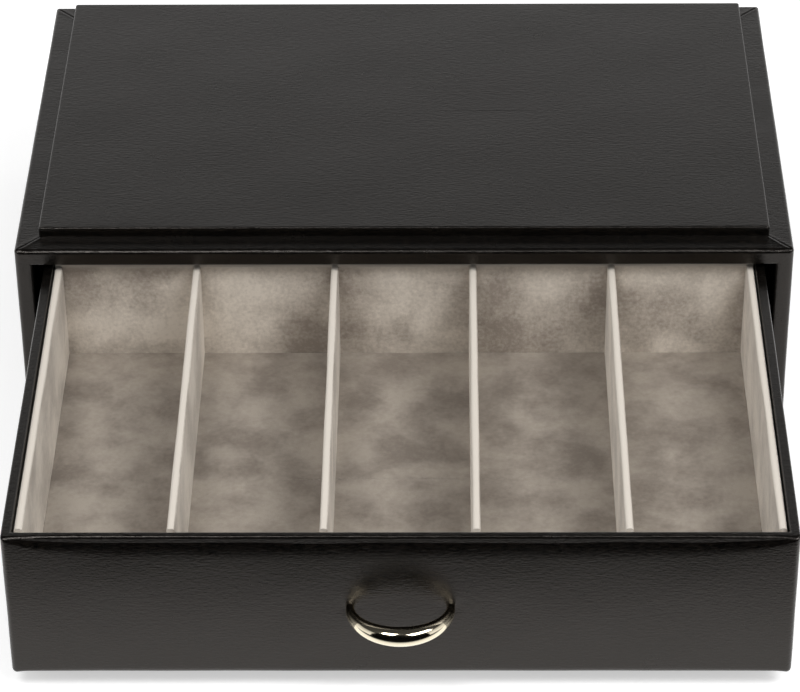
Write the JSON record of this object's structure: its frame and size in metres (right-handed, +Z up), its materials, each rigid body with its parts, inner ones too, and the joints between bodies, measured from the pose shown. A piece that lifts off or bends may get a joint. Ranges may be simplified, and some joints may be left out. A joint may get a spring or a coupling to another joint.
{
  "type": "cufflink box with drawer",
  "caption": "leather-covered open-fronted case with a raised top panel and one long velour-lined drawer, divided into bays and pulled by a polished bow handle",
  "frame": {"origin": "centre of the underside of the case, where it rests on the table", "axes": "+Z up, front of the box and the open drawer towards -Y, +X to the right seen from the front"},
  "size_m": [0.27, 0.3333, 0.0748],
  "materials": {
    "black_leather": "semi-gloss fine grain",
    "taupe_velour": "short suede nap",
    "case_lining_paper": "matt",
    "base_suede_paper": "flocked",
    "foam": "soft foam sheet",
    "grey_card": "matt",
    "wood_board": "fibreboard",
    "polished_pale_gold": "polished plating",
    "plated_steel": "bright plated"
  },
  "bodies": {
    "case": {"base_cover": "base_suede_paper", "case_back_board": "wood_board", "case_back_leather": "black_leather", "case_back_lining": "case_lining_paper", "case_bottom_board": "wood_board", "case_ceiling_lining": "case_lining_paper", "case_floor_lining": "case_lining_paper", "case_leather": "black_leather", "case_left_board": "wood_board", "case_left_lining": "case_lining_paper", "case_right_board": "wood_board", "case_right_lining": "case_lining_paper", "case_top_board": "wood_board", "top_panel_board": "wood_board", "top_panel_leather": "black_leather", "top_panel_padding": "foam"},
    "drawer": {"back_lining_card": "grey_card", "back_lining_cloth": "taupe_velour", "divider_card_1": "grey_card", "divider_card_2": "grey_card", "divider_card_3": "grey_card", "divider_card_4": "grey_card", "divider_cloth_1": "taupe_velour", "divider_cloth_2": "taupe_velour", "divider_cloth_3": "taupe_velour", "divider_cloth_4": "taupe_velour", "drawer_back_board": "wood_board", "drawer_bottom_board": "wood_board", "drawer_bottom_cover": "case_lining_paper", "drawer_front_board": "wood_board", "drawer_front_padding": "foam", "drawer_leather": "black_leather", "drawer_left_board": "wood_board", "drawer_right_board": "wood_board", "floor_cloth": "taupe_velour", "floor_pad": "foam", "front_lining_card": "grey_card", "front_lining_cloth": "taupe_velour", "handle_bow": "polished_pale_gold", "handle_nuts": "plated_steel", "handle_washers": "plated_steel", "left_lining_card": "grey_card", "left_lining_cloth": "taupe_velour", "right_lining_card": "grey_card", "right_lining_cloth": "taupe_velour"}
  },
  "joints": [
    {"name": "drawer_slide", "type": "slide", "parent": "case", "child": "drawer", "axis": [0, 1, 0], "range_m": [-0.006, 0.1485]}
  ]
}
